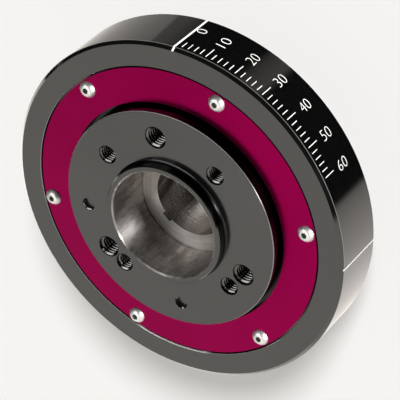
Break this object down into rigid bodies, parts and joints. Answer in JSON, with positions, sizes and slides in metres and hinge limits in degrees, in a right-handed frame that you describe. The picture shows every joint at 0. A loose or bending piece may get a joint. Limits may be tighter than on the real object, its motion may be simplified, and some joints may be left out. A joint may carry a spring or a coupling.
{
  "type": "harmonic balancer",
  "caption": "Round crankshaft vibration damper: hub with rear snout, rubber-mounted inertia ring, magenta retainer plate, bolt-on rear counterweight and timing marks on the rim.",
  "frame": {"origin": "centre of the snout's rear end, on which the balancer stands", "axes": "+Z along the crankshaft axis, from the snout's end to the front face; the four-bolt pattern lies on X and Y"},
  "size_m": [0.1626, 0.1626, 0.07],
  "materials": {
    "black_coat": "smooth gloss black coat on machined steel, bare and polished in the crank bore",
    "magenta_anodised": "glossy magenta anodising over fine turning marks",
    "stainless_steel": "bright stainless",
    "bare_steel": "bare cut threads and turned steel",
    "black_oxide": "satin black oxide on alloy steel",
    "elastomer": "matt black moulded rubber",
    "scale_white": "white filled marks"
  },
  "bodies": {
    "root": {"inertia_ring": "black_coat", "hub": "black_coat", "elastomer_ring": "elastomer", "retainer_plate": "magenta_anodised", "counterweight": "black_coat", "plate_screw_1": "stainless_steel", "plate_screw_2": "stainless_steel", "plate_screw_3": "stainless_steel", "plate_screw_4": "stainless_steel", "plate_screw_5": "stainless_steel", "plate_screw_6": "stainless_steel", "counterweight_screw_1": "black_oxide", "counterweight_screw_2": "black_oxide"}
  },
  "joints": []
}
